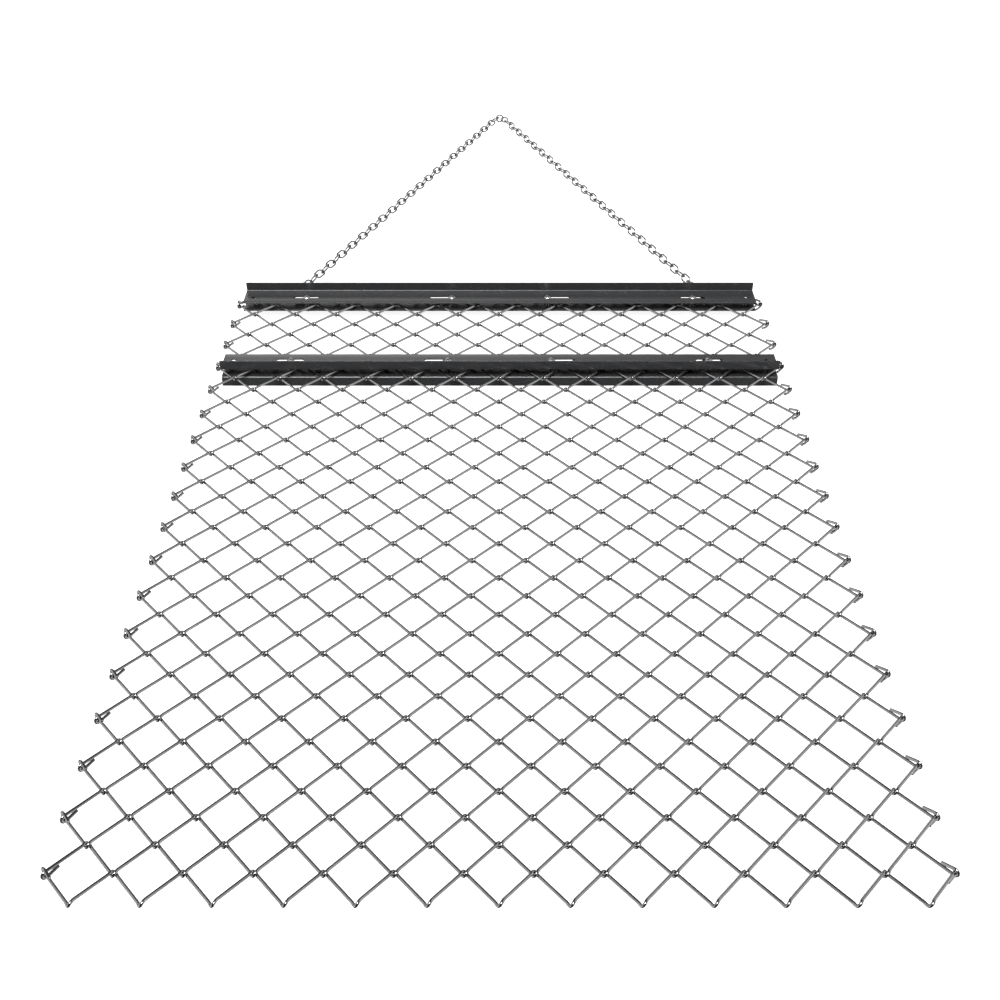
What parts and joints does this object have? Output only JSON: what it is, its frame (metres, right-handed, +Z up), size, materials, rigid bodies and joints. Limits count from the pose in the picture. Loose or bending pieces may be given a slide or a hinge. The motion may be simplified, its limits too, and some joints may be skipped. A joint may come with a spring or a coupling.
{
  "type": "chain harrow",
  "caption": "Drag harrow: a flat hinged mat of interlocked zig-zag wires under two bolted angle-iron clamp bars, pulled by two long-link chains that meet in a ring.",
  "frame": {"origin": "bottom centre of the whole box: the lower legs of the bars stand on Z = 0, and the box is centred on X = 0 and Y = 0", "axes": "+Y forward, along the pull towards the hitch ring; +Z up; +X to the right when looking along the pull"},
  "size_m": [1.5318, 3.5178, 0.077],
  "materials": {
    "mat_wire": "bright zinc coat, slightly dull",
    "bar_coating": "fine-grained dark powder coat",
    "fasteners": "bright zinc plate",
    "chain": "zinc-plated welded links"
  },
  "bodies": {
    "front_bar": {"front_upper_angle": "bar_coating", "front_lower_angle": "bar_coating", "front_bolt_1": "fasteners", "front_bolt_2": "fasteners", "front_bolt_3": "fasteners", "front_bolt_4": "fasteners", "wire_35": "mat_wire", "wire_36": "mat_wire"},
    "rear_bar": {"rear_upper_angle": "bar_coating", "rear_lower_angle": "bar_coating", "rear_bolt_1": "fasteners", "rear_bolt_2": "fasteners", "rear_bolt_3": "fasteners", "rear_bolt_4": "fasteners", "wire_29": "mat_wire", "wire_30": "mat_wire"},
    "mat_01": {"wire_01": "mat_wire"},
    "mat_02": {"wire_02": "mat_wire"},
    "mat_03": {"wire_03": "mat_wire"},
    "mat_04": {"wire_04": "mat_wire"},
    "mat_05": {"wire_05": "mat_wire"},
    "mat_06": {"wire_06": "mat_wire"},
    "mat_07": {"wire_07": "mat_wire"},
    "mat_08": {"wire_08": "mat_wire"},
    "mat_09": {"wire_09": "mat_wire"},
    "mat_10": {"wire_10": "mat_wire"},
    "mat_11": {"wire_11": "mat_wire"},
    "mat_12": {"wire_12": "mat_wire"},
    "mat_13": {"wire_13": "mat_wire"},
    "mat_14": {"wire_14": "mat_wire"},
    "mat_15": {"wire_15": "mat_wire"},
    "mat_16": {"wire_16": "mat_wire"},
    "mat_17": {"wire_17": "mat_wire"},
    "mat_18": {"wire_18": "mat_wire"},
    "mat_19": {"wire_19": "mat_wire"},
    "mat_20": {"wire_20": "mat_wire"},
    "mat_21": {"wire_21": "mat_wire"},
    "mat_22": {"wire_22": "mat_wire"},
    "mat_23": {"wire_23": "mat_wire"},
    "mat_24": {"wire_24": "mat_wire"},
    "mat_25": {"wire_25": "mat_wire"},
    "mat_26": {"wire_26": "mat_wire"},
    "mat_27": {"wire_27": "mat_wire"},
    "mat_28": {"wire_28": "mat_wire"},
    "mat_31": {"wire_31": "mat_wire"},
    "mat_32": {"wire_32": "mat_wire"},
    "mat_33": {"wire_33": "mat_wire"},
    "mat_34": {"wire_34": "mat_wire"},
    "left_strand_1": {"left_chain_1": "chain"},
    "left_strand_2": {"left_chain_2": "chain"},
    "left_strand_3": {"left_chain_3": "chain"},
    "left_strand_4": {"left_chain_4": "chain"},
    "left_strand_5": {"left_chain_5": "chain"},
    "right_strand_1": {"right_chain_1": "chain"},
    "right_strand_2": {"right_chain_2": "chain"},
    "right_strand_3": {"right_chain_3": "chain"},
    "right_strand_4": {"right_chain_4": "chain"},
    "right_strand_5": {"right_chain_5": "chain"},
    "ring": {"hitch_ring": "chain"}
  },
  "joints": [
    {"name": "row_34", "type": "hinge", "parent": "front_bar", "child": "mat_34", "pos_m": [0, 0.23791, 0.0385], "axis": [1, 0, 0], "range_deg": [-8, 8]},
    {"name": "row_33", "type": "hinge", "parent": "mat_34", "child": "mat_33", "pos_m": [0, 0.17941, 0.0385], "axis": [1, 0, 0], "range_deg": [-8, 8]},
    {"name": "row_32", "type": "hinge", "parent": "mat_33", "child": "mat_32", "pos_m": [0, 0.12091, 0.0385], "axis": [1, 0, 0], "range_deg": [-8, 8]},
    {"name": "row_31", "type": "hinge", "parent": "mat_32", "child": "mat_31", "pos_m": [0, 0.06241, 0.0385], "axis": [1, 0, 0], "range_deg": [-8, 8]},
    {"name": "row_30", "type": "hinge", "parent": "mat_31", "child": "rear_bar", "pos_m": [0, 0.00391, 0.0385], "axis": [1, 0, 0], "range_deg": [-8, 8]},
    {"name": "row_28", "type": "hinge", "parent": "rear_bar", "child": "mat_28", "pos_m": [0, -0.11309, 0.0385], "axis": [1, 0, 0], "range_deg": [-8, 8]},
    {"name": "row_27", "type": "hinge", "parent": "mat_28", "child": "mat_27", "pos_m": [0, -0.17159, 0.0385], "axis": [1, 0, 0], "range_deg": [-8, 8]},
    {"name": "row_26", "type": "hinge", "parent": "mat_27", "child": "mat_26", "pos_m": [0, -0.23009, 0.0385], "axis": [1, 0, 0], "range_deg": [-8, 8]},
    {"name": "row_25", "type": "hinge", "parent": "mat_26", "child": "mat_25", "pos_m": [0, -0.28859, 0.0385], "axis": [1, 0, 0], "range_deg": [-8, 8]},
    {"name": "row_24", "type": "hinge", "parent": "mat_25", "child": "mat_24", "pos_m": [0, -0.34709, 0.0385], "axis": [1, 0, 0], "range_deg": [-8, 8]},
    {"name": "row_23", "type": "hinge", "parent": "mat_24", "child": "mat_23", "pos_m": [0, -0.40559, 0.0385], "axis": [1, 0, 0], "range_deg": [-8, 8]},
    {"name": "row_22", "type": "hinge", "parent": "mat_23", "child": "mat_22", "pos_m": [0, -0.46409, 0.0385], "axis": [1, 0, 0], "range_deg": [-8, 8]},
    {"name": "row_21", "type": "hinge", "parent": "mat_22", "child": "mat_21", "pos_m": [0, -0.52259, 0.0385], "axis": [1, 0, 0], "range_deg": [-8, 8]},
    {"name": "row_20", "type": "hinge", "parent": "mat_21", "child": "mat_20", "pos_m": [0, -0.58109, 0.0385], "axis": [1, 0, 0], "range_deg": [-8, 8]},
    {"name": "row_19", "type": "hinge", "parent": "mat_20", "child": "mat_19", "pos_m": [0, -0.63959, 0.0385], "axis": [1, 0, 0], "range_deg": [-8, 8]},
    {"name": "row_18", "type": "hinge", "parent": "mat_19", "child": "mat_18", "pos_m": [0, -0.69809, 0.0385], "axis": [1, 0, 0], "range_deg": [-8, 8]},
    {"name": "row_17", "type": "hinge", "parent": "mat_18", "child": "mat_17", "pos_m": [0, -0.75659, 0.0385], "axis": [1, 0, 0], "range_deg": [-8, 8]},
    {"name": "row_16", "type": "hinge", "parent": "mat_17", "child": "mat_16", "pos_m": [0, -0.81509, 0.0385], "axis": [1, 0, 0], "range_deg": [-8, 8]},
    {"name": "row_15", "type": "hinge", "parent": "mat_16", "child": "mat_15", "pos_m": [0, -0.87359, 0.0385], "axis": [1, 0, 0], "range_deg": [-8, 8]},
    {"name": "row_14", "type": "hinge", "parent": "mat_15", "child": "mat_14", "pos_m": [0, -0.93209, 0.0385], "axis": [1, 0, 0], "range_deg": [-8, 8]},
    {"name": "row_13", "type": "hinge", "parent": "mat_14", "child": "mat_13", "pos_m": [0, -0.99059, 0.0385], "axis": [1, 0, 0], "range_deg": [-8, 8]},
    {"name": "row_12", "type": "hinge", "parent": "mat_13", "child": "mat_12", "pos_m": [0, -1.04909, 0.0385], "axis": [1, 0, 0], "range_deg": [-8, 8]},
    {"name": "row_11", "type": "hinge", "parent": "mat_12", "child": "mat_11", "pos_m": [0, -1.10759, 0.0385], "axis": [1, 0, 0], "range_deg": [-8, 8]},
    {"name": "row_10", "type": "hinge", "parent": "mat_11", "child": "mat_10", "pos_m": [0, -1.16609, 0.0385], "axis": [1, 0, 0], "range_deg": [-8, 8]},
    {"name": "row_09", "type": "hinge", "parent": "mat_10", "child": "mat_09", "pos_m": [0, -1.22459, 0.0385], "axis": [1, 0, 0], "range_deg": [-8, 8]},
    {"name": "row_08", "type": "hinge", "parent": "mat_09", "child": "mat_08", "pos_m": [0, -1.28309, 0.0385], "axis": [1, 0, 0], "range_deg": [-8, 8]},
    {"name": "row_07", "type": "hinge", "parent": "mat_08", "child": "mat_07", "pos_m": [0, -1.34159, 0.0385], "axis": [1, 0, 0], "range_deg": [-8, 8]},
    {"name": "row_06", "type": "hinge", "parent": "mat_07", "child": "mat_06", "pos_m": [0, -1.40009, 0.0385], "axis": [1, 0, 0], "range_deg": [-8, 8]},
    {"name": "row_05", "type": "hinge", "parent": "mat_06", "child": "mat_05", "pos_m": [0, -1.45859, 0.0385], "axis": [1, 0, 0], "range_deg": [-8, 8]},
    {"name": "row_04", "type": "hinge", "parent": "mat_05", "child": "mat_04", "pos_m": [0, -1.51709, 0.0385], "axis": [1, 0, 0], "range_deg": [-8, 8]},
    {"name": "row_03", "type": "hinge", "parent": "mat_04", "child": "mat_03", "pos_m": [0, -1.57559, 0.0385], "axis": [1, 0, 0], "range_deg": [-8, 8]},
    {"name": "row_02", "type": "hinge", "parent": "mat_03", "child": "mat_02", "pos_m": [0, -1.63409, 0.0385], "axis": [1, 0, 0], "range_deg": [-8, 8]},
    {"name": "row_01", "type": "hinge", "parent": "mat_02", "child": "mat_01", "pos_m": [0, -1.69259, 0.0385], "axis": [1, 0, 0], "range_deg": [-8, 8]},
    {"name": "left_lift_1", "type": "hinge", "parent": "front_bar", "child": "left_strand_1", "pos_m": [0, 0.36617, 0.0595], "axis": [1, 0, 0], "range_deg": [-6, 6]},
    {"name": "left_lift_2", "type": "hinge", "parent": "left_strand_1", "child": "left_strand_2", "pos_m": [0, 0.63199, 0.0595], "axis": [1, 0, 0], "range_deg": [-6, 6]},
    {"name": "left_lift_3", "type": "hinge", "parent": "left_strand_2", "child": "left_strand_3", "pos_m": [0, 0.89508, 0.0595], "axis": [1, 0, 0], "range_deg": [-6, 6]},
    {"name": "left_lift_4", "type": "hinge", "parent": "left_strand_3", "child": "left_strand_4", "pos_m": [0, 1.15818, 0.0595], "axis": [1, 0, 0], "range_deg": [-6, 6]},
    {"name": "left_lift_5", "type": "hinge", "parent": "left_strand_4", "child": "left_strand_5", "pos_m": [0, 1.45568, 0.0595], "axis": [1, 0, 0], "range_deg": [-6, 6]},
    {"name": "right_lift_1", "type": "hinge", "parent": "front_bar", "child": "right_strand_1", "pos_m": [0, 0.36617, 0.0595], "axis": [1, 0, 0], "range_deg": [-6, 6]},
    {"name": "right_lift_2", "type": "hinge", "parent": "right_strand_1", "child": "right_strand_2", "pos_m": [0, 0.63199, 0.0595], "axis": [1, 0, 0], "range_deg": [-6, 6]},
    {"name": "right_lift_3", "type": "hinge", "parent": "right_strand_2", "child": "right_strand_3", "pos_m": [0, 0.89508, 0.0595], "axis": [1, 0, 0], "range_deg": [-6, 6]},
    {"name": "right_lift_4", "type": "hinge", "parent": "right_strand_3", "child": "right_strand_4", "pos_m": [0, 1.15818, 0.0595], "axis": [1, 0, 0], "range_deg": [-6, 6]},
    {"name": "right_lift_5", "type": "hinge", "parent": "right_strand_4", "child": "right_strand_5", "pos_m": [0, 1.45568, 0.0595], "axis": [1, 0, 0], "range_deg": [-6, 6]},
    {"name": "ring_tilt", "type": "hinge", "parent": "left_strand_5", "child": "ring", "pos_m": [0, 1.74821, 0.0595], "axis": [1, 0, 0], "range_deg": [-6, 6]}
  ],
  "couplings": [
    {"joint": "right_lift_1", "follows": "left_lift_1", "ratio": 1},
    {"joint": "right_lift_2", "follows": "left_lift_2", "ratio": 1},
    {"joint": "right_lift_3", "follows": "left_lift_3", "ratio": 1},
    {"joint": "right_lift_4", "follows": "left_lift_4", "ratio": 1},
    {"joint": "right_lift_5", "follows": "left_lift_5", "ratio": 1}
  ]
}
